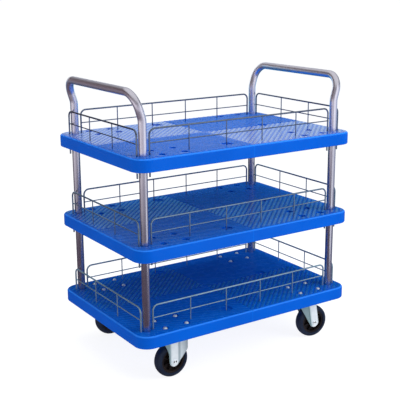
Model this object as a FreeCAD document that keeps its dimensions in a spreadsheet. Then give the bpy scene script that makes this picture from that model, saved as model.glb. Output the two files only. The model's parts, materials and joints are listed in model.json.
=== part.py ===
import FreeCAD, Part

import math
import os
import re

import Sketcher

# A rigid three-tier platform cart: three moulded decks on four tube posts, a bent tube
# handle at each end, welded wire rails round every deck, two fixed casters at the -X end
# and two swivel casters at the +X end.  Millimetres, +Z up, +X towards the swivel casters,
# origin on the floor under the middle of the decks.

SIZES = {
    # decks, all three from one mould
    "deck_length": 910, "deck_width": 610, "deck_height": 45, "deck_corner": 50,
    "deck_skin": 5, "deck_wall": 5, "deck_round_top": 8, "deck_round_foot": 4,
    "deck_clear": 156.5, "tier_pitch": 300,
    "stiffener": 3.5, "stiffener_foot": 16, "stiffener_pitch_long": 82, "stiffener_pitch_wide": 75,
    "boss_foot": 14, "web_foot": 24, "web_top": 32, "deck_play": 0.2,
    "dish_dia": 38, "dish_depth": 2.5, "drain_dia": 8,
    "dish_side_along": 65, "dish_side_across": 236, "dish_end_along": 268,
    # posts, tie rods and handles
    "post_along": 403, "post_across": 248, "tube_dia": 28, "tube_wall": 1.5,
    "rod_dia": 10, "rod_hole": 10.6, "rod_tail": 3, "plug_length": 30, "plug_play": 0.1,
    "rod_nut_flats": 17, "rod_nut_height": 8, "rod_washer_dia": 21, "rod_washer_height": 2,
    "handle_rise": 202, "handle_reach": 26, "handle_lean": 17,
    "handle_lean_bend": 60, "handle_corner_bend": 58,
    # wire rails
    "rail_dia": 6, "rail_wire_dia": 4, "rail_top": 85, "rail_middle": 38.5, "rail_bend": 20,
    "rail_tail": 27, "rail_tail_short": 11, "rail_hole": 6.4, "rail_wire_hole": 4.4,
    "rail_wire_sunk": 4, "rail_weld": 0.6,
    "side_rail_half": 378, "end_rail_along": 425,
    "rail_nut_flats": 10, "rail_nut_height": 9,
    # casters
    "caster_along": 297, "caster_across": 226, "bolt_along": 86, "bolt_across": 75,
    "plate_length": 114, "plate_width": 98, "plate_thick": 3, "plate_corner": 10,
    "bolt_dia": 8, "bolt_hole": 9, "bolt_boss": 30, "bolt_sink_dia": 24, "bolt_sink": 3,
    "bolt_head_dia": 17, "bolt_head_height": 7, "bolt_nut_flats": 13, "bolt_nut_height": 6.5,
    "wheel_dia": 125, "tyre_width": 36, "tyre_seat": 92, "tyre_crown": 40, "tread_half": 10,
    "tyre_side": 53.5, "tyre_shoulder": 11,
    "hub_bore": 14.1, "hub_boss_dia": 30, "hub_half": 21.5, "hub_rim": 7, "hub_rim_half": 16,
    "hub_web": 8, "sleeve_dia": 14, "sleeve_bore": 10.2,
    "axle_dia": 10, "axle_head_dia": 17, "axle_head_height": 3, "axle_tail": 2,
    "axle_nut_flats": 16, "axle_nut_height": 8,
    "leg_gap": 22.5, "leg_thick": 3, "leg_boss": 19, "leg_rib": 2, "leg_rib_inset": 3,
    "bracket_top_half": 56, "bracket_flare": 130, "bracket_rib_half": 15.5,
    "bracket_waist_along": 21, "bracket_waist_up": 30,
    "bracket_wing_along": 48, "bracket_wing_up": 28, "bracket_wing_bend": 20,
    "bracket_shoulder_along": 55, "bracket_shoulder_up": 46,
    "fork_rib_inner": 3, "fork_rib_outer": 27, "fork_rib_stop": 4, "fork_back": 27, "trail": 40,
    "crown_drop": 11, "crown_thick": 3.5, "crown_half": 47, "crown_corner": 14,
    "race_dia": 50, "race_section": 6, "race_gap": 0.4, "race_cup_width": 11,
    "kingpin_dia": 12, "kingpin_hole": 12.1, "kingpin_head_dia": 24, "kingpin_head_height": 5,
    "kingpin_gap": 0.3, "kingpin_cap_dia": 20, "kingpin_cap_height": 4,
}

SHEET = "Dimensions"
CORNERS = {"fl": (-1, -1), "fr": (1, -1), "bl": (-1, 1), "br": (1, 1)}
WORD = re.compile(r"[a-z_]+")

doc = FreeCAD.newDocument("platform_cart")
sheet = doc.addObject("Spreadsheet::Sheet", SHEET)
for row, (alias, size) in enumerate(SIZES.items(), start=1):
    sheet.set("A%d" % row, alias.replace("_", " "))
    sheet.set("B%d" % row, str(size))
    sheet.setAlias("B%d" % row, alias)
doc.recompute()

nodes = []


# ---- expressions of the sheet ------------------------------------------------------------

def bound(expression):
    """The expression with each sheet name spelt as another object has to spell it."""
    return WORD.sub(lambda m: SHEET + "." + m.group() if m.group() in SIZES else m.group(),
                    str(expression))


def value(expression):
    """The expression's number, worked out by the sheet."""
    return float(sheet.evalExpression(str(expression)))


def drive(thing, prop, expression):
    """Bind a property to an expression of the sheet."""
    thing.setExpression(prop, bound(expression))


def place(thing, along, across, up, turn=0):
    """Put a piece at a point of the cart, turned about the vertical by whole degrees."""
    thing.Placement = FreeCAD.Placement(
        FreeCAD.Vector(value(along), value(across), value(up)),
        FreeCAD.Rotation(FreeCAD.Vector(0, 0, 1), turn))
    drive(thing, "Placement.Base.x", along)
    drive(thing, "Placement.Base.y", across)
    drive(thing, "Placement.Base.z", up)


def keep(thing, label):
    """Name a finished piece and list it for export."""
    thing.Label = label
    nodes.append(thing)
    return thing


def deck_under(tier):
    """Height of a deck's underside over the floor, tier 0 being the lowest."""
    return "(deck_clear + %d * tier_pitch)" % tier


def deck_top(tier):
    return "(deck_clear + %d * tier_pitch + deck_height)" % tier


# ---- sketches ----------------------------------------------------------------------------

def sketch_on(body, name, plane, offset="0"):
    """A sketch on one of the body's own origin planes, moved along the plane's normal."""
    sketch = body.newObject("Sketcher::SketchObject", name)
    support = [f for f in body.Origin.OriginFeatures if f.Role == plane]
    sketch.AttachmentSupport = [(support[0], "")]
    sketch.MapMode = "FlatFace"
    drive(sketch, "AttachmentOffset.Base.z", offset)
    return sketch


def pin(sketch, geometry, end, x, y):
    """Hold one point of a sketch at an offset from the sketch's origin."""
    for kind, expression in (("DistanceX", x), ("DistanceY", y)):
        index = sketch.addConstraint(
            Sketcher.Constraint(kind, -1, 1, geometry, end, value(expression)))
        drive(sketch, "Constraints[%d]" % index, expression)


def circle(sketch, x, y, diameter):
    """A circle with its centre and diameter held."""
    centre = FreeCAD.Vector(value(x), value(y), 0)
    up = FreeCAD.Vector(0, 0, 1)
    geometry = sketch.addGeometry(Part.Circle(centre, up, value(diameter) / 2))
    pin(sketch, geometry, 3, x, y)
    index = sketch.addConstraint(Sketcher.Constraint("Diameter", geometry, value(diameter)))
    drive(sketch, "Constraints[%d]" % index, diameter)


def arc_between(start, end, radius, turn):
    """The shorter arc from start to end: turn is +1 for anticlockwise, -1 for clockwise."""
    chord = end - start
    middle = (start + end) * 0.5
    rise = math.sqrt(max(radius ** 2 - (chord.Length / 2) ** 2, 0))
    left = FreeCAD.Vector(-chord.y, chord.x, 0).normalize()
    centre = middle + left * rise * turn
    first, last = (start, end) if turn > 0 else (end, start)
    angles = [math.atan2(p.y - centre.y, p.x - centre.x) for p in (first, last)]
    ring = Part.Circle(centre, FreeCAD.Vector(0, 0, 1), radius)
    return Part.ArcOfCircle(ring, angles[0], angles[1])


def outline(sketch, corners, closed=True):
    """Lines and arcs through corners (x, y) or (x, y, radius, turn), each corner held.

    The radius and turn belong to the arc that leaves the corner.
    """
    points = [FreeCAD.Vector(value(c[0]), value(c[1]), 0) for c in corners]
    count = len(corners) if closed else len(corners) - 1
    ends = []
    for i in range(count):
        start = points[i]
        end = points[(i + 1) % len(points)]
        if len(corners[i]) == 2:
            geometry = sketch.addGeometry(Part.LineSegment(start, end))
            ends.append((geometry, 1, 2))
            continue
        radius, turn = corners[i][2:]
        geometry = sketch.addGeometry(arc_between(start, end, value(radius), turn))
        ends.append((geometry, 1, 2) if turn > 0 else (geometry, 2, 1))
        index = sketch.addConstraint(Sketcher.Constraint("Radius", geometry, value(radius)))
        drive(sketch, "Constraints[%d]" % index, radius)
    for i, (geometry, first, last) in enumerate(ends):
        pin(sketch, geometry, first, corners[i][0], corners[i][1])
        if closed or i + 1 < count:
            following = ends[(i + 1) % count]
            sketch.addConstraint(Sketcher.Constraint(
                "Coincident", geometry, last, following[0], following[1]))
    if not closed:
        pin(sketch, ends[-1][0], ends[-1][2], corners[-1][0], corners[-1][1])


def rectangle(sketch, x, y, length, width):
    """A rectangle about the point (x, y)."""
    sides = [("-", "-"), ("+", "-"), ("+", "+"), ("-", "+")]
    outline(sketch, [("%s %s (%s) / 2" % (x, a, length), "%s %s (%s) / 2" % (y, b, width))
                     for a, b in sides])


def rounded_rectangle(sketch, length, width, radius):
    """A rectangle about the sketch's origin with rounded corners."""
    corners = []
    for a, b, swap in ((1, -1, 0), (1, 1, 1), (-1, 1, 0), (-1, -1, 1)):
        far = ("%d * (%s) / 2" % (a, length), "%d * ((%s) / 2 - (%s))" % (b, width, radius))
        near = ("%d * ((%s) / 2 - (%s))" % (a, length, radius), "%d * (%s) / 2" % (b, width))
        first, second = (far, near) if swap else (near, far)
        corners.append(first + (radius, 1))
        corners.append(second)
    outline(sketch, corners)


# ---- features ----------------------------------------------------------------------------

def feature(body, kind, name, sketch):
    made = body.newObject("PartDesign::" + kind, name)
    made.Profile = sketch
    made.Refine = False
    return made


def pad(body, name, sketch, length):
    """Material along the sketch's normal."""
    made = feature(body, "Pad", name, sketch)
    drive(made, "Length", length)
    return made


def pocket(body, name, sketch, depth, upward=False):
    """A cut against the sketch's normal, or along it; the body has to lose volume."""
    doc.recompute()
    before = body.Shape.Volume
    made = feature(body, "Pocket", name, sketch)
    made.Reversed = upward
    drive(made, "Length", depth)
    doc.recompute()
    if not body.Shape.Volume < before - 1:
        raise RuntimeError("%s cut nothing from %s" % (name, body.Label))
    return made


def revolve(body, name, sketch, axis):
    made = feature(body, "Revolution", name, sketch)
    made.ReferenceAxis = (sketch, [axis])
    made.Angle = 360
    return made


def fillet(body, name, radius, test):
    """Round every edge of the body whose points all pass the test."""
    doc.recompute()
    base = body.Tip
    names = []
    for number, edge in enumerate(base.Shape.Edges, start=1):
        span = edge.LastParameter - edge.FirstParameter
        spots = [edge.valueAt(edge.FirstParameter + span * part) for part in (0.05, 0.5, 0.95)]
        if all(test(spot) for spot in spots):
            names.append("Edge%d" % number)
    made = body.newObject("PartDesign::Fillet", name)
    made.Base = (base, names)
    drive(made, "Radius", radius)
    doc.recompute()
    return made


def near(a, b, gap=0.01):
    return abs(a - b) < gap


# ---- decks -------------------------------------------------------------------------------

def four(along, across):
    """The four mirror images of a point, as expressions."""
    return [("%d * (%s)" % (a, along), "%d * (%s)" % (b, across)) for a, b in CORNERS.values()]


def bolt_points():
    """Where the caster bolts pass through a deck, four at each caster plate."""
    points = []
    for a, b in CORNERS.values():
        for i, j in CORNERS.values():
            points.append(("%d * caster_along + %d * bolt_along / 2" % (a, i),
                           "%d * caster_across + %d * bolt_across / 2" % (b, j)))
    return points


def leg_points():
    """Where the ends of the four rails pass through a deck."""
    return four("side_rail_half", "post_across") + four("end_rail_along", "post_across")


def wire_points():
    """Where the rails' upright wires stand in a deck."""
    points = []
    for step in (-3, -1, 1, 3):
        for side in (-1, 1):
            points.append(("%d * side_rail_half / 5" % step, "%d * post_across" % side))
    for end in (-1, 1):
        for side in (-1, 1):
            points.append(("%d * end_rail_along" % end, "%d * post_across / 3" % side))
    return points


def dish_points():
    """The round drain dishes of a deck."""
    return [("-dish_side_along", "-dish_side_across"), ("-dish_side_along", "dish_side_across"),
            ("-dish_end_along", "0"), ("dish_end_along", "0")]


def circles(body, name, offset, points, diameter):
    sketch = sketch_on(body, name, "XY_Plane", offset)
    for x, y in points:
        circle(sketch, x, y, diameter)
    return sketch


def make_deck(label, tier):
    """A moulded deck: a skin with a skirt, stiffeners and bosses below it, open underneath."""
    body = doc.addObject("PartDesign::Body", label)
    slab = sketch_on(body, label + "_slab", "XY_Plane")
    rounded_rectangle(slab, "deck_length", "deck_width", "deck_corner")
    pad(body, label + "_block", slab, "deck_height")
    height = value("deck_height")
    fillet(body, label + "_top_round", "deck_round_top", lambda p: near(p.z, height))
    fillet(body, label + "_foot_round", "deck_round_foot", lambda p: near(p.z, 0))

    hollow = sketch_on(body, label + "_inside", "XY_Plane")
    rounded_rectangle(hollow, "deck_length - 2 * deck_wall", "deck_width - 2 * deck_wall",
                      "deck_corner - deck_wall")
    pocket(body, label + "_hollow", hollow, "deck_height - deck_skin", upward=True)

    stiff_height = "deck_height - deck_skin / 2 - stiffener_foot"
    long_ribs = sketch_on(body, label + "_long_ribs", "XY_Plane", "stiffener_foot")
    for step in range(-3, 4):
        rectangle(long_ribs, "0", "%d * stiffener_pitch_wide" % step,
                  "deck_length - deck_wall", "stiffener")
    pad(body, label + "_long_stiffeners", long_ribs, stiff_height)
    cross_ribs = sketch_on(body, label + "_cross_ribs", "XY_Plane", "stiffener_foot")
    for step in range(-5, 6):
        rectangle(cross_ribs, "%d * stiffener_pitch_long" % step, "0",
                  "stiffener", "deck_width - deck_wall")
    pad(body, label + "_cross_stiffeners", cross_ribs, stiff_height)

    boss_height = "deck_height - deck_skin / 2 - boss_foot"
    posts = four("post_along", "post_across")
    post_boss = circles(body, label + "_post_boss", "boss_foot", posts, "tube_dia + 10")
    pad(body, label + "_post_bosses", post_boss, boss_height)
    leg_boss = circles(body, label + "_leg_boss", "0", leg_points(), "rail_dia * 2.4")
    pad(body, label + "_leg_bosses", leg_boss, "deck_height - deck_skin / 2")
    bolt_boss = circles(body, label + "_bolt_boss", "0", bolt_points(), "bolt_boss")
    pad(body, label + "_bolt_bosses", bolt_boss, "deck_height - deck_skin / 2")

    top = "deck_height"
    socket_dia = "tube_dia + deck_play"
    pocket(body, label + "_upper_sockets", circles(body, label + "_socket", top, posts, socket_dia),
           "deck_height - web_top")
    pocket(body, label + "_lower_sockets",
           circles(body, label + "_under_socket", "web_foot", posts, socket_dia), "web_foot")
    pocket(body, label + "_rod_holes", circles(body, label + "_rod_hole", top, posts, "rod_hole"),
           "deck_height")
    pocket(body, label + "_leg_holes",
           circles(body, label + "_leg_hole", top, leg_points(), "rail_hole"), "deck_height")
    pocket(body, label + "_wire_holes",
           circles(body, label + "_wire_hole", top, wire_points(), "rail_wire_hole"), "deck_skin")
    pocket(body, label + "_bolt_sinks",
           circles(body, label + "_bolt_sink", top, bolt_points(), "bolt_sink_dia"), "bolt_sink")
    pocket(body, label + "_bolt_holes",
           circles(body, label + "_bolt_hole", top, bolt_points(), "bolt_hole"), "deck_height")
    pocket(body, label + "_dishes", circles(body, label + "_dish", top, dish_points(), "dish_dia"),
           "dish_depth")
    drains = pocket(body, label + "_drains",
                    circles(body, label + "_drain", top, dish_points(), "drain_dia"), "deck_height")
    drains.Refine = True
    place(body, "0", "0", deck_under(tier))
    keep(body, label)


# ---- posts, handles and tie rods ---------------------------------------------------------

def make_post(label, corner, tier):
    """A tube between two decks, its ends in their sockets."""
    a, b = CORNERS[corner]
    body = doc.addObject("PartDesign::Body", label)
    ring = sketch_on(body, label + "_ring", "XY_Plane")
    circle(ring, "0", "0", "tube_dia")
    circle(ring, "0", "0", "tube_dia - 2 * tube_wall")
    pad(body, label + "_tube", ring, "tier_pitch - (web_top - web_foot)")
    place(body, "%d * post_along" % a, "%d * post_across" % b,
          deck_under(tier) + " + web_top")
    keep(body, label)


def handle_path(side):
    """The handle's centre line as a wire: up, out, round the corner, across and back down."""
    lean = math.radians(value("handle_lean"))
    lean_bend = value("handle_lean_bend")
    corner_bend = value("handle_corner_bend")
    across = value("post_across")
    slope = (value("handle_reach") - lean_bend * (1 - math.cos(lean))) / math.sin(lean)
    rise = value(deck_top(2) + " + handle_rise")
    lean_start = rise - lean_bend * math.sin(lean) - slope * math.cos(lean)
    foot = FreeCAD.Vector(0, -across, value(deck_under(2) + " + web_top"))
    knee = FreeCAD.Vector(0, -across, lean_start)
    outward = FreeCAD.Vector(side * math.sin(lean), 0, math.cos(lean))

    def on_lean_bend(angle):
        return knee + FreeCAD.Vector(side * lean_bend * (1 - math.cos(angle)), 0,
                                     lean_bend * math.sin(angle))

    knee_end = on_lean_bend(lean)
    corner = knee_end + outward * (slope - corner_bend)
    inward = FreeCAD.Vector(0, 1, 0)

    def on_corner(angle):
        return (corner + outward * (corner_bend * math.sin(angle))
                + inward * (corner_bend * (1 - math.cos(angle))))

    corner_end = on_corner(math.pi / 2)
    half = [
        Part.LineSegment(foot, knee),
        Part.Arc(knee, on_lean_bend(lean / 2), knee_end),
        Part.LineSegment(knee_end, corner),
        Part.Arc(corner, on_corner(math.pi / 4), corner_end),
    ]
    edges = [piece.toShape() for piece in half]
    mirrored = [edge.mirror(FreeCAD.Vector(), FreeCAD.Vector(0, 1, 0)) for edge in edges]
    far_end = FreeCAD.Vector(corner_end.x, -corner_end.y, corner_end.z)
    bar = Part.LineSegment(corner_end, far_end).toShape()
    return Part.Wire(Part.__sortEdges__(edges + [bar] + mirrored))


def make_handle(label, side):
    """A bent tube at one end of the cart, its two feet in the top deck's sockets."""
    path = handle_path(side)
    start = path.OrderedVertexes[0].Point
    up = FreeCAD.Vector(0, 0, 1)
    solids = []
    for diameter in ("tube_dia", "tube_dia - 2 * tube_wall"):
        ring = Part.Wire(Part.Circle(start, up, value(diameter) / 2).toShape())
        solids.append(path.makePipeShell([ring], True, False))
    handle = doc.addObject("Part::Feature", label)
    handle.Shape = solids[0].cut(solids[1])
    place(handle, "%d * post_along" % side, "0", "0")
    keep(handle, label)


def cylinder(diameter, height, up="0"):
    """A cylinder on the vertical through the origin."""
    made = doc.addObject("Part::Cylinder", "round")
    drive(made, "Radius", "(%s) / 2" % diameter)
    drive(made, "Height", height)
    drive(made, "Placement.Base.z", up)
    return made


def hexagon(flats, height):
    """A six-sided prism of a given width across its flats."""
    made = doc.addObject("Part::Prism", "hexagon")
    made.Polygon = 6
    drive(made, "Circumradius", "(%s) / 2 / cos(30)" % flats)
    drive(made, "Height", height)
    return made


def cut(base, tool):
    made = doc.addObject("Part::Cut", "cut")
    made.Base = base
    made.Tool = tool
    return made


def fuse(base, tool):
    made = doc.addObject("Part::Fuse", "fuse")
    made.Base = base
    made.Tool = tool
    return made


def group(label, build, points):
    """Identical loose pieces in one node, one at each point (along, across, up)."""
    pieces = []
    for along, across, up in points:
        piece = build()
        place(piece, along, across, up)
        pieces.append(piece)
    made = doc.addObject("Part::Compound", label)
    made.Links = pieces
    keep(made, label)


def ring(outer, inner, height):
    return cut(cylinder(outer, height), cylinder(inner, height))


def nut(flats, hole, height):
    return cut(hexagon(flats, height), cylinder(hole, height))


def make_tie_rods():
    """Rods that clamp decks, posts and handles together, their nuts under the lowest deck."""
    posts = four("post_along", "post_across")
    web = deck_under(0) + " + web_foot"
    washer_foot = web + " - rod_washer_height"
    nut_foot = washer_foot + " - rod_nut_height"
    rod_foot = nut_foot + " - rod_tail"
    plug_foot = deck_under(2) + " + web_top"
    rod_length = "(%s + plug_length) - (%s)" % (plug_foot, rod_foot)
    group("tie_rods", lambda: cylinder("rod_dia", rod_length), [p + (rod_foot,) for p in posts])
    group("tie_rod_washers", lambda: ring("rod_washer_dia", "rod_hole", "rod_washer_height"),
          [p + (washer_foot,) for p in posts])
    group("tie_rod_nuts", lambda: nut("rod_nut_flats", "rod_dia + plug_play", "rod_nut_height"),
          [p + (nut_foot,) for p in posts])
    group("handle_plugs",
          lambda: ring("tube_dia - 2 * tube_wall - plug_play", "rod_dia + plug_play", "plug_length"),
          [p + (plug_foot,) for p in posts])


# ---- wire rails --------------------------------------------------------------------------

def make_rail(label, half, bays, along, across, turn, tier):
    """A welded rail in its own upright plane: a bent frame wire, a middle wire and uprights.

    The piece's own origin is on the deck's top face, its plane is XZ, and +Y faces the load.
    The lowest deck's rails have short tails, which end just under their nuts.
    """
    body = doc.addObject("PartDesign::Body", label)
    foot = "-(deck_height + %s)" % ("rail_tail" if tier else "rail_tail_short")
    spine = sketch_on(body, label + "_line", "XZ_Plane")
    outline(spine, [
        ("-(%s)" % half, foot),
        ("-(%s)" % half, "rail_top - rail_bend", "rail_bend", -1),
        ("rail_bend - (%s)" % half, "rail_top"),
        ("(%s) - rail_bend" % half, "rail_top", "rail_bend", -1),
        ("(%s)" % half, "rail_top - rail_bend"),
        ("(%s)" % half, foot),
    ], closed=False)
    section = sketch_on(body, label + "_section", "XY_Plane", foot)
    circle(section, "-(%s)" % half, "0", "rail_dia")
    frame = feature(body, "AdditivePipe", label + "_frame", section)
    frame.Spine = spine
    doc.recompute()

    middle = sketch_on(body, label + "_middle", "YZ_Plane", "-(%s)" % half)
    circle(middle, "rail_wire_dia - rail_weld", "rail_middle", "rail_wire_dia")
    pad(body, label + "_middle_wire", middle, "2 * (%s)" % half)
    uprights = sketch_on(body, label + "_uprights", "XY_Plane", "-rail_wire_sunk")
    for step in range(1, bays):
        circle(uprights, "(%s) * (2 * %d / %d - 1)" % (half, step, bays), "0", "rail_wire_dia")
    pad(body, label + "_upright_wires", uprights, "rail_top + rail_wire_sunk")
    place(body, along, across, deck_top(tier), turn)
    keep(body, label)


def make_rails(tier_name, tier):
    side = ("side_rail_half", 5)
    end = ("post_across", 3)
    stem = "rail_%s_" % tier_name
    make_rail(stem + "front", *side, "0", "-post_across", 0, tier)
    make_rail(stem + "back", *side, "0", "post_across", 180, tier)
    make_rail(stem + "left", *end, "-end_rail_along", "0", -90, tier)
    make_rail(stem + "right", *end, "end_rail_along", "0", 90, tier)


# ---- casters -----------------------------------------------------------------------------

AXLE_UP = "wheel_dia / 2"
SWIVELLED = {"fr": -8, "br": 0}    # degrees that each fork is turned, seen from above
PLATE_UP = "(deck_clear - plate_thick)"
CROWN_UP = "(deck_clear - crown_drop)"


def axle_at(corner):
    """Where a caster's axle is along and across the cart, and how far it is turned."""
    a, b = CORNERS[corner]
    turn = SWIVELLED.get(corner, 0)
    reach = "trail" if corner in SWIVELLED else "0"
    along = "%d * caster_along + %s * cos(%d)" % (a, reach, turn)
    across = "%d * caster_across + %s * sin(%d)" % (b, reach, turn)
    return along, across, turn


def plate_on(body, label, sketch_up):
    """The flat mounting plate with its four bolt holes."""
    slab = sketch_on(body, label + "_plate_outline", "XY_Plane", sketch_up)
    rounded_rectangle(slab, "plate_length", "plate_width", "plate_corner")
    for i, j in CORNERS.values():
        circle(slab, "%d * bolt_along / 2" % i, "%d * bolt_across / 2" % j, "bolt_hole")
    pad(body, label + "_plate", slab, "plate_thick")


def on_boss(radius, angle):
    """A point at an angle round the axle, as expressions."""
    return ("%s * cos(%d)" % (radius, angle), "%s * sin(%d)" % (radius, angle))


def legs_on(body, label, leg, rib):
    """Two pressed legs either side of the wheel, each with a raised rib, and the axle hole.

    The outlines are in the leg's plane, about the axle.
    """
    for name, face, lift in (("near", "leg_gap", "leg_gap + leg_thick"),
                             ("far", "-leg_gap - leg_thick", "-leg_gap - leg_thick - leg_rib")):
        sheet_outline = sketch_on(body, "%s_%s_outline" % (label, name), "XZ_Plane", face)
        outline(sheet_outline, leg)
        pad(body, "%s_%s_leg" % (label, name), sheet_outline, "leg_thick")
        rib_outline = sketch_on(body, "%s_%s_rib_outline" % (label, name), "XZ_Plane", lift)
        outline(rib_outline, rib)
        pad(body, "%s_%s_rib" % (label, name), rib_outline, "leg_rib")
    hole = sketch_on(body, label + "_axle_outline", "XZ_Plane", "leg_gap + leg_thick + leg_rib")
    circle(hole, "0", "0", "sleeve_bore")
    pocket(body, label + "_axle_hole", hole, "2 * (leg_gap + leg_thick + leg_rib)")


def make_fixed_bracket(label, corner):
    """A fixed caster's bracket: a plate with two legs that widen upwards to it."""
    a, b = CORNERS[corner]
    body = doc.addObject("PartDesign::Body", label)
    top = "(deck_clear - plate_thick - wheel_dia / 2)"
    plate_on(body, label, top)
    leg = [
        on_boss("leg_boss", 192) + ("leg_boss", 1),
        on_boss("leg_boss", 328),
        ("bracket_wing_along", "bracket_wing_up", "bracket_wing_bend", 1),
        ("bracket_shoulder_along", "bracket_shoulder_up"),
        ("bracket_top_half", top),
        ("-bracket_top_half", top, "bracket_flare", -1),
        ("-bracket_waist_along", "bracket_waist_up"),
    ]
    inset = "(leg_boss - leg_rib_inset)"
    rib = [
        on_boss(inset, 185) + (inset, 1),
        on_boss(inset, 355),
        ("bracket_rib_half", top),
        ("-bracket_rib_half", top),
    ]
    legs_on(body, label, leg, rib)
    place(body, "%d * caster_along" % a, "%d * caster_across" % b, AXLE_UP, 0)
    keep(body, label)


def make_fork(label, corner):
    """A swivel caster's fork: a round-ended crown with two raked legs."""
    body = doc.addObject("PartDesign::Body", label)
    crown_foot = "(deck_clear - crown_drop - crown_thick - wheel_dia / 2)"
    plan = sketch_on(body, label + "_crown_outline", "XY_Plane", crown_foot)
    half = "(leg_gap + leg_thick)"
    corner_x = "(crown_half - crown_corner)"
    outline(plan, [
        ("-trail + %s" % corner_x, "-%s" % half, "crown_corner", 1),
        ("-trail + crown_half", "crown_corner - %s" % half),
        ("-trail + crown_half", "%s - crown_corner" % half, "crown_corner", 1),
        ("-trail + %s" % corner_x, half),
        ("-trail - %s" % corner_x, half, "crown_corner", 1),
        ("-trail - crown_half", "%s - crown_corner" % half),
        ("-trail - crown_half", "crown_corner - %s" % half, "crown_corner", 1),
        ("-trail - %s" % corner_x, "-%s" % half),
    ])
    circle(plan, "-trail", "0", "kingpin_hole")
    pad(body, label + "_crown", plan, "crown_thick")
    leg = [
        on_boss("leg_boss", 218) + ("leg_boss", 1),
        on_boss("leg_boss", 360),
        ("-trail + crown_half", crown_foot),
        ("-trail - fork_back", crown_foot),
    ]
    inset = "(leg_boss - leg_rib_inset)"
    rib_top = "%s - fork_rib_stop" % crown_foot
    rib = [
        on_boss(inset, 205) + (inset, 1),
        on_boss(inset, 355),
        ("fork_rib_inner", rib_top),
        ("-fork_rib_outer", rib_top),
    ]
    legs_on(body, label, leg, rib)
    along, across, turn = axle_at(corner)
    place(body, along, across, AXLE_UP, turn)
    keep(body, label)


def make_swivel_plate(label, corner):
    """A swivel caster's plate, with the cup of its race pressed into the underside."""
    a, b = CORNERS[corner]
    body = doc.addObject("PartDesign::Body", label)
    plate_on(body, label, "0")
    cup = sketch_on(body, label + "_cup_outline", "XY_Plane",
                    "race_section + race_gap - (crown_drop - plate_thick)")
    circle(cup, "0", "0", "race_dia + race_cup_width")
    circle(cup, "0", "0", "race_dia - race_cup_width")
    pad(body, label + "_cup", cup, "(crown_drop - plate_thick) - race_section - race_gap")
    bore = sketch_on(body, label + "_pin_outline", "XY_Plane", "plate_thick")
    circle(bore, "0", "0", "kingpin_dia + plug_play")
    pocket(body, label + "_pin_hole", bore, "plate_thick")
    place(body, "%d * caster_along" % a, "%d * caster_across" % b, PLATE_UP)
    keep(body, label)


def make_race(label, corner):
    """The ring of the swivel's ball race, lying on the fork's crown."""
    a, b = CORNERS[corner]
    ring_body = doc.addObject("Part::Torus", label)
    drive(ring_body, "Radius1", "race_dia / 2")
    drive(ring_body, "Radius2", "race_section / 2")
    place(ring_body, "%d * caster_along" % a, "%d * caster_across" % b,
          CROWN_UP + " + race_section / 2")
    keep(ring_body, label)


def make_kingpin(label, corner):
    """The pin riveted into the plate, with a head that holds the fork up."""
    a, b = CORNERS[corner]
    body = doc.addObject("PartDesign::Body", label)
    shank_foot = "-(crown_thick + kingpin_gap)"
    head_foot = "-(crown_thick + kingpin_gap + kingpin_head_height)"
    profile = sketch_on(body, label + "_outline", "XZ_Plane")
    outline(profile, [
        ("0", head_foot),
        ("kingpin_head_dia / 2 - 2", head_foot),
        ("kingpin_head_dia / 2", head_foot + " + 2"),
        ("kingpin_head_dia / 2", shank_foot),
        ("kingpin_dia / 2", shank_foot),
        ("kingpin_dia / 2", "crown_drop"),
        ("kingpin_cap_dia / 2", "crown_drop"),
        ("kingpin_cap_dia / 2", "crown_drop + kingpin_cap_height / 2"),
        ("kingpin_cap_dia / 2 - 3", "crown_drop + kingpin_cap_height"),
        ("0", "crown_drop + kingpin_cap_height"),
    ])
    revolve(body, label + "_turned", profile, "V_Axis")
    place(body, "%d * caster_along" % a, "%d * caster_across" % b, CROWN_UP)
    keep(body, label)


def place_on_axle(thing, corner):
    """Put a piece drawn about its axle on a caster; the back casters are turned about."""
    along, across, turn = axle_at(corner)
    place(thing, along, across, AXLE_UP, turn + (180 if CORNERS[corner][1] > 0 else 0))


def make_tyre(label, corner):
    """A solid tyre with a rounded shoulder and a slightly crowned tread."""
    body = doc.addObject("PartDesign::Body", label)
    edge = "(wheel_dia / 2 - tyre_crown + sqrt(tyre_crown ^ 2 - tread_half ^ 2))"
    profile = sketch_on(body, label + "_outline", "YZ_Plane")
    outline(profile, [
        ("-tyre_width / 2", "tyre_seat / 2"),
        ("tyre_width / 2", "tyre_seat / 2"),
        ("tyre_width / 2", "tyre_side", "tyre_shoulder", 1),
        ("tread_half", edge, "tyre_crown", 1),
        ("-tread_half", edge, "tyre_shoulder", 1),
        ("-tyre_width / 2", "tyre_side"),
    ])
    revolve(body, label + "_ring", profile, "H_Axis")
    place_on_axle(body, corner)
    keep(body, label)


def make_hub(label, corner):
    """A moulded wheel centre: boss, thin web and rim in one revolved section."""
    body = doc.addObject("PartDesign::Body", label)
    profile = sketch_on(body, label + "_outline", "YZ_Plane")
    quarter = [
        ("hub_half", "hub_bore / 2"),
        ("hub_half", "hub_boss_dia / 2"),
        ("hub_web / 2", "hub_boss_dia / 2 + 3"),
        ("hub_web / 2", "tyre_seat / 2 - hub_rim - 3"),
        ("hub_rim_half", "tyre_seat / 2 - hub_rim"),
        ("hub_rim_half", "tyre_seat / 2"),
    ]
    outline(profile, quarter + [("-(%s)" % u, v) for u, v in reversed(quarter)])
    revolve(body, label + "_turned", profile, "H_Axis")
    place_on_axle(body, corner)
    keep(body, label)


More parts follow.
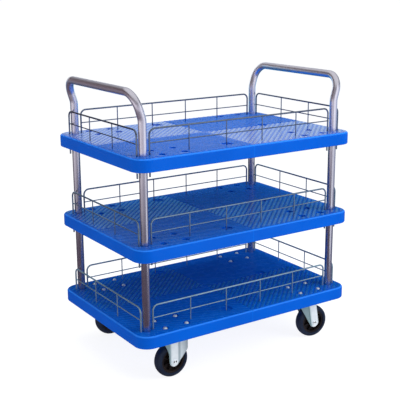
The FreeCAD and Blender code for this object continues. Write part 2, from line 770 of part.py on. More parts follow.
def make_axle(label, corner):
    """An axle bolt, its low round head on the outer side of the caster."""
    body = doc.addObject("PartDesign::Body", label)
    face = "(leg_gap + leg_thick + leg_rib)"
    profile = sketch_on(body, label + "_outline", "YZ_Plane")
    outline(profile, [
        ("-(%s + axle_head_height)" % face, "0"),
        ("%s + axle_nut_height + axle_tail" % face, "0"),
        ("%s + axle_nut_height + axle_tail" % face, "axle_dia / 2"),
        ("-%s" % face, "axle_dia / 2"),
        ("-%s" % face, "axle_head_dia / 2"),
        ("-(%s + axle_head_height / 2)" % face, "axle_head_dia / 2"),
        ("-(%s + axle_head_height)" % face, "axle_head_dia / 2 - axle_head_height / 2"),
    ])
    revolve(body, label + "_turned", profile, "H_Axis")
    place_on_axle(body, corner)
    return body


def drawn_on_y(body, label, shape, start, length):
    """Pad a sketch of the XZ plane from one distance along -Y to another."""
    drawing = sketch_on(body, label + "_outline", "XZ_Plane", start)
    shape(drawing)
    pad(body, label + "_pad", drawing, length)


def make_axle_nut(label, corner):
    """The nut on the inner end of an axle bolt."""
    def hexagon_and_hole(drawing):
        radius = "(axle_nut_flats / 2 / cos(30))"
        outline(drawing, [("%s * cos(%d)" % (radius, 60 * k), "%s * sin(%d)" % (radius, 60 * k))
                          for k in range(6)])
        circle(drawing, "0", "0", "axle_dia + plug_play")

    body = doc.addObject("PartDesign::Body", label)
    drawn_on_y(body, label, hexagon_and_hole,
               "-(leg_gap + leg_thick + leg_rib + axle_nut_height)", "axle_nut_height")
    place_on_axle(body, corner)
    return body


def make_sleeve(label, corner):
    """The bearing sleeve that is clamped between the legs and carries the hub."""
    def two_circles(drawing):
        circle(drawing, "0", "0", "sleeve_dia")
        circle(drawing, "0", "0", "sleeve_bore")

    body = doc.addObject("PartDesign::Body", label)
    drawn_on_y(body, label, two_circles, "-leg_gap", "2 * leg_gap")
    place_on_axle(body, corner)
    return body


def make_axle_pieces(name, build):
    """One node for each swivel caster's piece, and one for the fixed casters' pair."""
    for corner in ("fr", "br"):
        keep(build("%s_%s" % (name, corner), corner), "%s_%s" % (name, corner))
    pair = doc.addObject("Part::Compound", "fixed_%ss" % name)
    pair.Links = [build("fixed_%s_%s" % (name, corner), corner) for corner in ("fl", "bl")]
    keep(pair, "fixed_%ss" % name)


def caster_bolt():
    """A bolt with a domed head, drawn from the face that the head bears on."""
    length = "deck_height - bolt_sink + plate_thick + bolt_nut_height"
    cap_radius = "((bolt_head_dia / 2) ^ 2 + bolt_head_height ^ 2) / (2 * bolt_head_height)"
    cap = doc.addObject("Part::Sphere", "cap")
    drive(cap, "Radius", cap_radius)
    drive(cap, "Angle1", "asin(1 - bolt_head_height / (%s))" % cap_radius)
    cap.Angle2 = 90
    drive(cap, "Placement.Base.z", "bolt_head_height - (%s)" % cap_radius)
    return fuse(cap, cylinder("bolt_dia", length, "-(%s)" % length))


def make_fasteners():
    """The loose hardware of the deck bolts and the rails."""
    points = bolt_points()
    seat = deck_top(0) + " - bolt_sink"
    group("caster_bolts", caster_bolt, [p + (seat,) for p in points])
    nut_foot = PLATE_UP + " - bolt_nut_height"
    group("caster_nuts", lambda: nut("bolt_nut_flats", "bolt_dia + plug_play", "bolt_nut_height"),
          [p + (nut_foot,) for p in points])
    legs = []
    for tier in range(3):
        foot = deck_under(tier) + " - rail_nut_height"
        legs += [p + (foot,) for p in leg_points()]
    group("rail_nuts", lambda: nut("rail_nut_flats", "rail_dia + plug_play", "rail_nut_height"),
          legs)


# ---- the cart ----------------------------------------------------------------------------

for tier_number, tier_name in enumerate(("low", "middle", "high")):
    make_deck("deck_" + tier_name, tier_number)
    make_rails(tier_name, tier_number)
for corner_name in CORNERS:
    make_post("lower_post_" + corner_name, corner_name, 0)
    make_post("upper_post_" + corner_name, corner_name, 1)
make_handle("handle_left", -1)
make_handle("handle_right", 1)
make_tie_rods()
make_fasteners()
for corner_name in ("fl", "bl"):
    make_fixed_bracket("fixed_bracket_" + corner_name, corner_name)
for corner_name in ("fr", "br"):
    make_swivel_plate("swivel_plate_" + corner_name, corner_name)
    make_kingpin("kingpin_" + corner_name, corner_name)
    make_race("swivel_race_" + corner_name, corner_name)
    make_fork("swivel_fork_" + corner_name, corner_name)
make_axle_pieces("axle", make_axle)
make_axle_pieces("axle_nut", make_axle_nut)
make_axle_pieces("wheel_sleeve", make_sleeve)
for corner_name in CORNERS:
    make_hub("hub_" + corner_name, corner_name)
    make_tyre("tyre_" + corner_name, corner_name)

doc.recompute()
for thing in doc.Objects:
    if any(flag in ("Invalid", "Error") for flag in thing.State):
        raise RuntimeError("%s is %s" % (thing.Label, thing.State))
for node in nodes:
    if node.Shape.isNull() or not node.Shape.isValid():
        raise RuntimeError("%s has no valid shape" % node.Label)

os.makedirs("parts", exist_ok=True)
for node in nodes:
    node.Shape.exportStep("parts/%s.step" % node.Label)
    print("%-22s solids %2d  volume %9.0f mm3"
          % (node.Label, len(node.Shape.Solids), node.Shape.Volume))
print(len(nodes), "nodes")
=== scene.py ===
import json
import math

import bpy
from mathutils import Matrix, Vector


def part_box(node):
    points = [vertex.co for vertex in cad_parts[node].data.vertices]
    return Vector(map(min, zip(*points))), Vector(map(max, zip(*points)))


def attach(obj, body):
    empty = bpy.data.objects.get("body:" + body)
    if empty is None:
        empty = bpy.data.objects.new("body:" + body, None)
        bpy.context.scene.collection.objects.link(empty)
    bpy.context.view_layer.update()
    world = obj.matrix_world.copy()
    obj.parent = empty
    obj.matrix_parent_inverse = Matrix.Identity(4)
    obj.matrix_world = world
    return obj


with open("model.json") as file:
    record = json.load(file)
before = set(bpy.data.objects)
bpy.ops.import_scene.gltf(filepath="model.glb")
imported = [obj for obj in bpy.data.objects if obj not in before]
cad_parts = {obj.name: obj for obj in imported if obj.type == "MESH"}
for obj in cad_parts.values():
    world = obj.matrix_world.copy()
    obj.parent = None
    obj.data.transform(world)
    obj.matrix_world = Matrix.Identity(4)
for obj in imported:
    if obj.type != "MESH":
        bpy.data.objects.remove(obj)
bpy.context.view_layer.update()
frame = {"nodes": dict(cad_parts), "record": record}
nodes = frame["nodes"]


# ---- places on the cart --------------------------------------------------------------------

MM = 0.001
TIERS = ("low", "middle", "high")
CORNERS = {"fl": (-1, -1), "fr": (1, -1), "bl": (-1, 1), "br": (1, 1)}
TOP_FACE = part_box("deck_high")[1].z

# from the middle of the cart: posts, the legs of the side rails, the end rails and the casters
POST_AT = (403 * MM, 248 * MM)
SIDE_RAIL_HALF = 378 * MM
END_RAIL_AT = 425 * MM
CASTER_AT = (297 * MM, 226 * MM)

# the caster bolts from their caster's middle, and the round dishes in each deck's top
BOLT_HALF = (43 * MM, 37.5 * MM)
DISHES = ((-65 * MM, -236 * MM), (-65 * MM, 236 * MM), (-268 * MM, 0.0), (268 * MM, 0.0))

RAIL_RADIUS = 3 * MM
AXLE_UP = 62.5 * MM
BRACKET_AT = -CASTER_AT[0]
FORK_AT = CASTER_AT[0] + 39.8 * MM    # a swivel fork's rib, at the axle's height
FORK_LEAN = 12 / 75.5    # how far that rib leans back, for its height


# ---- camera --------------------------------------------------------------------------------

# where the camera stands in metres, how it is turned, and its lens in millimetres
CAMERA_AT = Vector((-1.739, -2.602, 1.3557))
CAMERA_YAW = math.radians(33.427)
CAMERA_PITCH = math.radians(14.543)
CAMERA_ROLL = math.radians(-0.34)
CAMERA_LENS = 77.57
CAMERA_SENSOR = 36.0

# two level directions: from the cart to the camera, and to the camera's right
TO_CAMERA = Vector((-math.sin(CAMERA_YAW), -math.cos(CAMERA_YAW), 0))
TO_RIGHT = Vector((math.cos(CAMERA_YAW), -math.sin(CAMERA_YAW), 0))


def make_camera():
    forward = -TO_CAMERA * math.cos(CAMERA_PITCH) - Vector((0, 0, math.sin(CAMERA_PITCH)))
    level_up = TO_RIGHT.cross(forward)
    right = TO_RIGHT * math.cos(CAMERA_ROLL) + level_up * math.sin(CAMERA_ROLL)
    up = right.cross(forward)
    turn = Matrix((right, up, -forward)).transposed()
    data = bpy.data.cameras.new("camera")
    data.lens = CAMERA_LENS
    data.sensor_width = CAMERA_SENSOR
    camera = bpy.data.objects.new("camera", data)
    camera.matrix_world = Matrix.Translation(CAMERA_AT) @ turn.to_4x4()
    bpy.context.scene.collection.objects.link(camera)
    bpy.context.scene.camera = camera


# ---- node helpers --------------------------------------------------------------------------

class Graph:
    """A node tree with short ways to add nodes and join them."""

    def __init__(self, tree):
        self.tree = tree
        tree.nodes.clear()

    def add(self, kind, **settings):
        node = self.tree.nodes.new(kind)
        for name, setting in settings.items():
            setattr(node, name, setting)
        return node

    def join(self, source, target):
        self.tree.links.new(source, target)

    def put(self, socket, value):
        """Link an output socket, or set a plain value."""
        if isinstance(value, bpy.types.NodeSocket):
            self.join(value, socket)
        else:
            socket.default_value = value

    def math(self, operation, first, second=0.0):
        node = self.add("ShaderNodeMath", operation=operation)
        self.put(node.inputs[0], first)
        self.put(node.inputs[1], second)
        return node.outputs[0]

    def axes(self, vector):
        """A vector's X, Y and Z."""
        node = self.add("ShaderNodeSeparateXYZ")
        self.join(vector, node.inputs[0])
        return node.outputs

    def show(self, surface, kind="ShaderNodeOutputMaterial"):
        """Make a shader the tree's surface."""
        self.join(surface, self.add(kind).inputs["Surface"])

    def span(self, value, low, high, to_low=0.0, to_high=1.0, smooth=False):
        """Map a value from low..high to to_low..to_high, held at both ends."""
        node = self.add("ShaderNodeMapRange")
        if smooth:
            node.interpolation_type = "SMOOTHSTEP"
        self.put(node.inputs["Value"], value)
        node.inputs["From Min"].default_value = low
        node.inputs["From Max"].default_value = high
        node.inputs["To Min"].default_value = to_low
        node.inputs["To Max"].default_value = to_high
        return node.outputs["Result"]

    def mix(self, share, first, second):
        node = self.add("ShaderNodeMix", data_type="RGBA")
        self.put(node.inputs["Factor"], share)
        self.put(node.inputs[6], first)
        self.put(node.inputs[7], second)
        return node.outputs[2]

    def ramp(self, share, stops):
        """Colours blended along 0..1, from a list of (where, colour) with both ends given."""
        node = self.add("ShaderNodeValToRGB")
        self.join(share, node.inputs["Fac"])
        elements = node.color_ramp.elements
        for number, (where, colour) in enumerate(stops):
            if number == 0:
                stop = elements[0]
            elif number == len(stops) - 1:
                stop = elements[-1]
            else:
                stop = elements.new(where)
            stop.position = where
            stop.color = rgb(*colour)
        return node.outputs["Color"]

    def dot(self, vector, direction):
        node = self.add("ShaderNodeVectorMath", operation="DOT_PRODUCT")
        self.join(vector, node.inputs[0])
        node.inputs[1].default_value = direction
        return node.outputs["Value"]

    def place(self, stretch=(1, 1, 1)):
        """The piece's own coordinates in metres, stretched."""
        coords = self.add("ShaderNodeTexCoord")
        mapping = self.add("ShaderNodeMapping")
        mapping.inputs["Scale"].default_value = stretch
        self.join(coords.outputs["Object"], mapping.inputs["Vector"])
        return mapping.outputs["Vector"]

    def noise(self, scale, detail=2.0, stretch=(1, 1, 1), roughness=0.5):
        node = self.add("ShaderNodeTexNoise")
        self.join(self.place(stretch), node.inputs["Vector"])
        node.inputs["Scale"].default_value = scale
        node.inputs["Detail"].default_value = detail
        node.inputs["Roughness"].default_value = roughness
        return node.outputs["Fac"]

    def spread(self, noise, to_low=0.0, to_high=1.0):
        """Map a noise, most of which lies in 0.3..0.7, to to_low..to_high."""
        return self.span(noise, 0.3, 0.7, to_low, to_high)

    def bump(self, height, strength, distance, normal=None):
        node = self.add("ShaderNodeBump")
        node.inputs["Strength"].default_value = strength
        node.inputs["Distance"].default_value = distance
        self.join(height, node.inputs["Height"])
        if normal is not None:
            self.join(normal, node.inputs["Normal"])
        return node.outputs["Normal"]


def rgb(red, green, blue):
    return (red, green, blue, 1.0)


# ---- studio --------------------------------------------------------------------------------

# What the shiny parts reflect, by the compass angle from the camera: 0 is towards the
# camera, 90 to its right, 180 behind the cart and -90 to its left.
WALLS = (
    (-180, (0.56, 0.60, 0.70)),
    (-158, (0.50, 0.53, 0.62)),
    (-142, (0.16, 0.12, 0.14)),
    (-75, (0.15, 0.11, 0.13)),
    (-50, (0.34, 0.31, 0.35)),
    (0, (0.34, 0.32, 0.38)),
    (50, (0.60, 0.62, 0.72)),
    (95, (0.55, 0.58, 0.70)),
    (120, (0.16, 0.17, 0.24)),
    (148, (0.20, 0.22, 0.32)),
    (165, (0.52, 0.56, 0.68)),
    (180, (0.56, 0.60, 0.70)),
)

# the floor's colour in their reflections, by the same angle, near the cart and far from it
FLOOR_NEAR = (
    (-180, (0.26, 0.24, 0.32)),
    (-150, (0.12, 0.10, 0.14)),
    (-60, (0.10, 0.075, 0.11)),
    (0, (0.085, 0.065, 0.10)),
    (50, (0.16, 0.15, 0.23)),
    (100, (0.16, 0.17, 0.28)),
    (150, (0.10, 0.12, 0.22)),
    (180, (0.26, 0.24, 0.32)),
)
FLOOR_FAR = (
    (-180, (0.50, 0.50, 0.60)),
    (-150, (0.20, 0.17, 0.20)),
    (-100, (0.17, 0.15, 0.19)),
    (-60, (0.92, 0.90, 1.0)),
    (0, (0.54, 0.53, 0.63)),
    (45, (0.66, 0.68, 0.82)),
    (95, (0.55, 0.60, 0.76)),
    (120, (0.26, 0.31, 0.50)),
    (150, (0.26, 0.31, 0.50)),
    (180, (0.50, 0.50, 0.60)),
)

# metres from the cart's middle between which FLOOR_NEAR's colours turn into FLOOR_FAR's
FLOOR_TURNS = (1.6, 4.0)

# how high a reflection looks, as a sine: the walls dim over the first stretch, down by
# UPPER_DIM, and turn into the ceiling over the second
WALLS_DIM = (0.19, 0.30)
UPPER_DIM = 0.55
CEILING_STARTS = (0.40, 0.72)
CEILING = rgb(0.60, 0.61, 0.66)

# the soft light from all around, and the dimmer one from the camera's left, which is full where
# the cosine to straight left passes LEFT_FULL
SOFT = rgb(0.57, 0.59, 0.62)
SOFT_LEFT = rgb(0.36, 0.38, 0.44)
LEFT_FULL = 0.8

BLACK = rgb(0.0, 0.0, 0.0)
PALE = rgb(1.0, 1.0, 1.0)
FLOOR_RADIUS = 60.0
FLOOR_COLOUR = rgb(0.25, 0.25, 0.255)
FLOOR_GLOW = 0.88
SHEEN_RADIUS = 30.0
DISC_SIDES = 96

# the screens: where their feet stand, and how wide and high they are
PANEL_AT = TO_RIGHT * 1.03 + TO_CAMERA * 0.78
PANEL_SIZE = (0.9, 1.7)
PANEL_COLOUR = rgb(0.84, 0.88, 1.0)

BACKDROP_AT = TO_CAMERA * -0.85
BACKDROP_SIZE = (2.6, 1.25)

# the backdrop's colours, by metres up from the floor
BACKDROP = (
    (0.0, (0.01, 0.03, 0.06)),
    (0.50, (0.01, 0.05, 0.09)),
    (0.62, (0.05, 0.30, 0.62)),
    (0.80, (0.08, 0.38, 0.72)),
    (0.92, (0.66, 0.80, 0.92)),
    (1.25, (0.90, 0.94, 1.0)),
)


def angle_round(graph, vector):
    """The compass angle of a vector, from 0 to 1 round the cart."""
    angle = graph.math("ARCTAN2", graph.dot(vector, TO_RIGHT), graph.dot(vector, TO_CAMERA))
    return graph.span(angle, -math.pi, math.pi)


def colours_round(graph, share, colours):
    """A colour for each compass angle, from a table of (degrees, colour)."""
    return graph.ramp(share, [((degrees + 180) / 360, colour) for degrees, colour in colours])


def make_world():
    """White to the eye, even and soft for lighting, and a studio's walls to reflections."""
    world = bpy.data.worlds.new("studio")
    world.use_nodes = True
    bpy.context.scene.world = world
    graph = Graph(world.node_tree)
    direction = graph.add("ShaderNodeTexCoord").outputs["Generated"]
    walls = colours_round(graph, angle_round(graph, direction), WALLS)
    up = graph.dot(direction, (0, 0, 1))
    dim = graph.span(up, *WALLS_DIM, 0.0, UPPER_DIM, smooth=True)
    room = graph.mix(graph.span(up, *CEILING_STARTS, smooth=True), graph.mix(dim, walls, BLACK),
                     CEILING)
    leftward = graph.span(graph.dot(direction, -TO_RIGHT), 0.0, LEFT_FULL, smooth=True)
    path = graph.add("ShaderNodeLightPath").outputs
    shown = graph.mix(path["Is Diffuse Ray"], graph.mix(path["Is Camera Ray"], room, PALE),
                      graph.mix(leftward, SOFT, SOFT_LEFT))
    background = graph.add("ShaderNodeBackground")
    graph.join(shown, background.inputs["Color"])
    graph.show(background.outputs["Background"], "ShaderNodeOutputWorld")


def add_stage(name, points, faces):
    """A part of the studio, and the graph of its own material."""
    mesh = bpy.data.meshes.new(name)
    mesh.from_pydata(points, [], faces)
    thing = bpy.data.objects.new(name, mesh)
    bpy.context.scene.collection.objects.link(thing)
    paint = bpy.data.materials.new(name + "_paint")
    paint.use_nodes = True
    mesh.materials.append(paint)
    return thing, Graph(paint.node_tree)


def add_glow(graph):
    """A shader that only gives light; returns its colour's socket."""
    glow = graph.add("ShaderNodeEmission")
    graph.show(glow.outputs["Emission"])
    return glow.inputs["Color"]


def only_in_reflections(thing):
    thing.visible_camera = False
    thing.visible_diffuse = False
    thing.visible_shadow = False
    thing.visible_transmission = False


def make_disc(name, radius):
    turns = [2 * math.pi * k / DISC_SIDES for k in range(DISC_SIDES)]
    points = [(radius * math.cos(turn), radius * math.sin(turn), 0) for turn in turns]
    return add_stage(name, points, [tuple(range(DISC_SIDES))])


def make_floor():
    """A pale floor that catches soft shadows, and its darker twin for the reflections."""
    floor, graph = make_disc("floor", FLOOR_RADIUS)
    floor.visible_glossy = False
    shader = graph.add("ShaderNodeBsdfPrincipled")
    shader.inputs["Base Color"].default_value = FLOOR_COLOUR
    shader.inputs["Roughness"].default_value = 0.9
    shader.inputs["Specular IOR Level"].default_value = 0.0
    shader.inputs["Emission Color"].default_value = PALE
    shader.inputs["Emission Strength"].default_value = FLOOR_GLOW
    graph.show(shader.outputs["BSDF"])

    sheen, graph = make_disc("floor_sheen", SHEEN_RADIUS)
    only_in_reflections(sheen)
    place = graph.add("ShaderNodeTexCoord").outputs["Object"]
    round_cart = angle_round(graph, place)
    length = graph.add("ShaderNodeVectorMath", operation="LENGTH")
    graph.join(place, length.inputs[0])
    away = graph.span(length.outputs["Value"], *FLOOR_TURNS, smooth=True)
    graph.join(graph.mix(away, colours_round(graph, round_cart, FLOOR_NEAR),
                         colours_round(graph, round_cart, FLOOR_FAR)), add_glow(graph))


def make_screen(name, at, size):
    """An upright screen that faces the cart, seen only in the shiny parts."""
    wide, high = size
    across = Vector((-at.y, at.x, 0)).normalized() * wide / 2
    up = Vector((0, 0, high))
    screen, graph = add_stage(name, [at - across, at + across, at + across + up, at - across + up],
                              [(0, 1, 2, 3)])
    only_in_reflections(screen)
    return graph, add_glow(graph)


def make_screens():
    """A pale screen beside the cart, to the camera's right, and a graded one close behind it."""
    graph, colour = make_screen("panel", PANEL_AT, PANEL_SIZE)
    colour.default_value = PANEL_COLOUR
    graph, colour = make_screen("backdrop", BACKDROP_AT, BACKDROP_SIZE)
    top = BACKDROP_SIZE[1]
    place = graph.add("ShaderNodeTexCoord").outputs["Object"]
    share = graph.span(graph.dot(place, (0, 0, 1)), 0.0, top)
    graph.join(graph.ramp(share, [(height / top, tint) for height, tint in BACKDROP]), colour)


LIGHTS_AIM = Vector((0, 0, 0.45))


def make_softbox(name, at, up, side, power):
    """A square soft light above the level place `at`, hidden from the shiny parts."""
    data = bpy.data.lights.new(name, "AREA")
    data.shape = "RECTANGLE"
    data.size = side
    data.size_y = side
    data.energy = power
    light = bpy.data.objects.new(name, data)
    light.location = at + Vector((0, 0, up))
    light.rotation_mode = "QUATERNION"
    light.rotation_quaternion = (LIGHTS_AIM - light.location).to_track_quat("-Z", "Y")
    light.visible_glossy = False
    bpy.context.scene.collection.objects.link(light)


def make_lights():
    make_softbox("key", TO_CAMERA * 0.9 + TO_RIGHT * 2.4, 1.7, 1.8, 45)
    make_softbox("overhead", Vector((0.0, 0.2, 0.0)), 2.9, 2.4, 36)
    make_softbox("fill", TO_CAMERA * 2.6 - TO_RIGHT * 1.2, 1.2, 1.8, 10)


# ---- materials -----------------------------------------------------------------------------

materials = {}


def start(name):
    """A new material, its graph and its main shader."""
    made = bpy.data.materials.new(name)
    made.use_nodes = True
    graph = Graph(made.node_tree)
    shader = graph.add("ShaderNodeBsdfPrincipled")
    graph.show(shader.outputs["BSDF"])
    materials[name] = made
    return graph, shader


# the blend between two quarters of a deck, in x times y to each side of 0
QUARTER_EDGE = 0.0002

# the decks' blue and its paler flow marks, the blue of the painted highlight on their rounded
# edges and of the fine seam line across their middle, how much these two show, and how far
# from the middle the line fades
DECK_BLUE = rgb(0.0, 0.082, 0.50)
FLOW_BLUE = rgb(0.0, 0.100, 0.58)
EDGE_HIGHLIGHT_BLUE = rgb(0.03, 0.24, 0.90)
EDGE_HIGHLIGHT_SHOWS = 0.75
SEAM_BLUE = rgb(0.0, 0.16, 0.75)
SEAM_SHOWS = 0.45
SEAM_FADES = (0.4 * MM, 2.2 * MM)

# how far a deck's surface faces up, as a sine: its rounded edge, where the painted highlight
# lies, over the first stretch, its flat top from the second
ROUNDED = (0.30, 0.72)
FLAT = (0.93, 0.99)

# how shiny the decks' plastic is, and the top deck in two of its quarters
DECK_SHINE = 0.05
TOP_DECK_SHINE = 0.60


def sheen_quarters(graph, spot):
    """1 in a deck's front right and back left quarters, where x times y is below 0.

    There the ribs get a painted sheen, and the top deck is shinier.
    """
    quarter = graph.math("MULTIPLY", spot["X"], spot["Y"])
    return graph.span(quarter, -QUARTER_EDGE, QUARTER_EDGE, 1.0, 0.0)


def deck_grain(graph):
    return graph.bump(graph.noise(700, 2), 0.05, 0.0004)


def make_deck_plastic():
    """Glossy moulded blue, with faint flow marks, a fine grain and light scuffs.

    The decks' rounded edges get a paler painted highlight; the fine seam line across their
    middle is paler too.
    """
    graph, shader = start("deck_plastic")
    spot = graph.axes(graph.place())
    tilt = graph.axes(graph.add("ShaderNodeNewGeometry").outputs["Normal"])["Z"]
    blue = graph.mix(graph.spread(graph.noise(5, 3)), DECK_BLUE, FLOW_BLUE)
    rounded = graph.math("MULTIPLY", graph.span(tilt, *ROUNDED, smooth=True),
                         graph.span(tilt, *FLAT, 1.0, 0.0, smooth=True))
    # painted highlight: the rounded edges, which face partly up, are mixed towards a paler blue
    blue = graph.mix(graph.math("MULTIPLY", rounded, EDGE_HIGHLIGHT_SHOWS), blue, EDGE_HIGHLIGHT_BLUE)
    seam = graph.span(graph.math("ABSOLUTE", spot["X"]), *SEAM_FADES, 1.0, 0.0, smooth=True)
    graph.join(graph.mix(graph.math("MULTIPLY", seam, SEAM_SHOWS), blue, SEAM_BLUE),
               shader.inputs["Base Color"])
    scuff = graph.noise(40, 6, (1, 0.15, 1), 0.7)
    graph.join(graph.span(scuff, 0.3, 0.75, 0.17, 0.30), shader.inputs["Roughness"])
    graph.join(graph.bump(seam, 0.6, 0.0005, deck_grain(graph)), shader.inputs["Normal"])
    shiny = graph.math("MULTIPLY", sheen_quarters(graph, spot),
                       graph.span(spot["Z"], TOP_FACE - 20 * MM, TOP_FACE))
    shiny = graph.math("MULTIPLY", shiny, graph.span(tilt, *FLAT))
    graph.join(graph.span(shiny, 0.0, 1.0, DECK_SHINE, TOP_DECK_SHINE),
               shader.inputs["Specular IOR Level"])


# the ribs' blue in two quarters of a deck, and where they are worn
RIB_BLUE = rgb(0.002, 0.104, 0.50)
WORN_BLUE = rgb(0.006, 0.124, 0.57)

# the ribs of the front right and back left quarters, for each tier: their blue and their most
# worn blue, which hold a painted sheen, paler on the high deck and, on the low deck, darker than
# the other ribs as painted shade from the decks above; how shiny the other ribs and these are, and
# how much of a clear gloss these have
RIB_SHEEN = {
    "low": ((0.0, 0.100, 0.42), (0.006, 0.125, 0.50), (0.03, 0.20), 0.0),
    "middle": ((0.01, 0.115, 0.44), (0.025, 0.145, 0.52), (0.22, 0.60), 0.10),
    "high": ((0.035, 0.13, 0.49), (0.07, 0.165, 0.56), (0.20, 1.0), 0.7),
}
GLOSS_IOR = 1.75
GLOSS_ROUGHNESS = 0.22


def make_deck_tread(tier):
    """The ribs' blue, with patches of wear.

    In the front right and back left quarters the ribs are shinier and carry a painted sheen,
    set for each tier.
    """
    sheen_blue, worn_sheen_blue, shine, gloss = RIB_SHEEN[tier]
    graph, shader = start("deck_tread_" + tier)
    painted_sheen_share = sheen_quarters(graph, graph.axes(graph.place()))
    wear = graph.spread(graph.noise(30, 5, (1, 1, 1), 0.6))
    blue = graph.mix(wear, RIB_BLUE, WORN_BLUE)
    # painted sheen: the ribs of the front right and back left quarters take the tier's sheen blues
    graph.join(graph.mix(painted_sheen_share, blue, graph.mix(wear, rgb(*sheen_blue), rgb(*worn_sheen_blue))),
               shader.inputs["Base Color"])
    graph.join(graph.span(painted_sheen_share, 0.0, 1.0, *shine), shader.inputs["Specular IOR Level"])
    graph.join(graph.span(painted_sheen_share, 0.0, 1.0, 0.0, gloss), shader.inputs["Coat Weight"])
    shader.inputs["Coat IOR"].default_value = GLOSS_IOR
    shader.inputs["Coat Roughness"].default_value = GLOSS_ROUGHNESS
    graph.join(graph.span(wear, 0.0, 1.0, 0.20, 0.34), shader.inputs["Roughness"])
    graph.join(deck_grain(graph), shader.inputs["Normal"])


# how a metal's grain is stretched: along an upright drawn tube, or not at all
DRAWN = (1, 1, 0.04)
EVEN = (1, 1, 1)

# each metal's colour and its darker patches, the span of its roughness, its grain's direction,
# scale and depth, and how metallic it is
METALS = {
    "post_tube": ((0.70, 0.67, 0.70), (0.63, 0.60, 0.64), (0.18, 0.24), DRAWN, 900, 0.015, 1.0),
    "handle_tube": ((0.96, 0.92, 0.96), (0.88, 0.84, 0.88), (0.28, 0.34), DRAWN, 900, 0.02, 1.0),
    # painted light: the same wire, dark on the high tier and paler and less metallic lower down
    "rail_wire": ((0.21, 0.26, 0.32), (0.16, 0.20, 0.26), (0.10, 0.20), EVEN, 500, 0.04, 1.0),
    "middle_rail_wire_painted_light": ((0.26, 0.37, 0.46), (0.20, 0.29, 0.38), (0.10, 0.20), EVEN, 500, 0.04, 0.8),
    "low_rail_wire_painted_light": ((0.34, 0.50, 0.58), (0.26, 0.40, 0.48), (0.10, 0.20), EVEN, 500, 0.04, 0.65),
    "zinc_plate": ((0.62, 0.71, 0.76), (0.54, 0.63, 0.69), (0.32, 0.46), EVEN, 260, 0.04, 0.35),
    "fastener_steel": ((0.66, 0.76, 0.82), (0.54, 0.62, 0.68), (0.22, 0.36), EVEN, 400, 0.04, 0.5),
    "axle_steel": ((0.90, 0.95, 0.97), (0.78, 0.84, 0.87), (0.22, 0.36), EVEN, 400, 0.04, 0.15),
}
METAL_GRAIN = 0.0003


def make_metal(name, colour, darker, roughness, direction, scale, depth, metallic):
    """Bare or plated metal, its shade and polish varied by patches and a fine grain."""
    graph, shader = start(name)
    shader.inputs["Metallic"].default_value = metallic
    graph.join(graph.mix(graph.span(graph.noise(18, 4), 0.35, 0.7), rgb(*colour), rgb(*darker)),
               shader.inputs["Base Color"])
    grain = graph.noise(scale, 3, direction)
    graph.join(graph.spread(grain, *roughness), shader.inputs["Roughness"])
    graph.join(graph.bump(grain, depth, METAL_GRAIN), shader.inputs["Normal"])


# across a pressed leg, from its rib's middle: how far in metres, and the zinc's colour there,
# which paints a highlight on the rib, shade in the grooves beside it and shade grading across the
# wings
PRESSED_ZINC_PAINTED_LIGHT = (
    (-0.060, (0.20, 0.30, 0.33)),
    (-0.0185, (0.24, 0.36, 0.38)),
    (-0.0155, (0.62, 0.73, 0.76)),
    (-0.0100, (0.86, 0.93, 0.96)),
    (0.0120, (0.88, 0.94, 0.97)),
    (0.0155, (0.50, 0.58, 0.62)),
    (0.0200, (0.34, 0.42, 0.46)),
    (0.0280, (0.68, 0.76, 0.80)),
    (0.0600, (0.26, 0.32, 0.36)),
)


def make_pressed_zinc(name, axle_along, lean):
    """Zinc on a pressed leg, with a painted highlight on its rib, painted shade in the grooves
    beside the rib and painted shade grading across its wings.
    """
    graph, shader = start(name)
    shader.inputs["Metallic"].default_value = 0.25
    spot = graph.axes(graph.place())
    up = graph.math("SUBTRACT", spot["Z"], AXLE_UP)
    across = graph.math("SUBTRACT", spot["X"], axle_along)
    across = graph.math("ADD", across, graph.math("MULTIPLY", up, lean))
    low, high = PRESSED_ZINC_PAINTED_LIGHT[0][0], PRESSED_ZINC_PAINTED_LIGHT[-1][0]
    stops = [((where - low) / (high - low), colour) for where, colour in PRESSED_ZINC_PAINTED_LIGHT]
    # painted light: the zinc's colour across the leg is painted highlight and shade
    zinc = graph.ramp(graph.span(across, low, high), stops)
    dull = graph.spread(graph.noise(60, 4), 0.0, 0.18)
    graph.join(graph.mix(dull, zinc, rgb(0.45, 0.52, 0.56)), shader.inputs["Base Color"])
    grain = graph.noise(260, 3)
    graph.join(graph.spread(grain, 0.32, 0.46), shader.inputs["Roughness"])
    graph.join(graph.bump(grain, 0.04, METAL_GRAIN), shader.inputs["Normal"])


def make_dark(name, darker, paler, patches, polish, roughness, grain, depth):
    """Dark plastic or rubber; patches, polish and grain are each a noise's scale and detail."""
    graph, shader = start(name)
    graph.join(graph.mix(graph.spread(graph.noise(*patches)), rgb(*darker), rgb(*paler)),
               shader.inputs["Base Color"])
    graph.join(graph.spread(graph.noise(*polish), *roughness), shader.inputs["Roughness"])
    graph.join(graph.bump(graph.noise(*grain), depth, 0.0004), shader.inputs["Normal"])


def make_materials():
    make_deck_plastic()
    for tier in TIERS:
        make_deck_tread(tier)
    for name, settings in METALS.items():
        make_metal(name, *settings)
    make_pressed_zinc("bracket_zinc", BRACKET_AT, 0.0)
    make_pressed_zinc("fork_zinc", FORK_AT, FORK_LEAN)
    make_dark("hub_plastic", (0.006, 0.004, 0.004), (0.022, 0.015, 0.012),
              (25, 4), (90, 4), (0.28, 0.45), (900, 2), 0.12)
    make_dark("tyre_rubber", (0.003, 0.009, 0.028), (0.008, 0.020, 0.050),
              (30, 5), (120, 4), (0.38, 0.58), (1400, 3), 0.2)


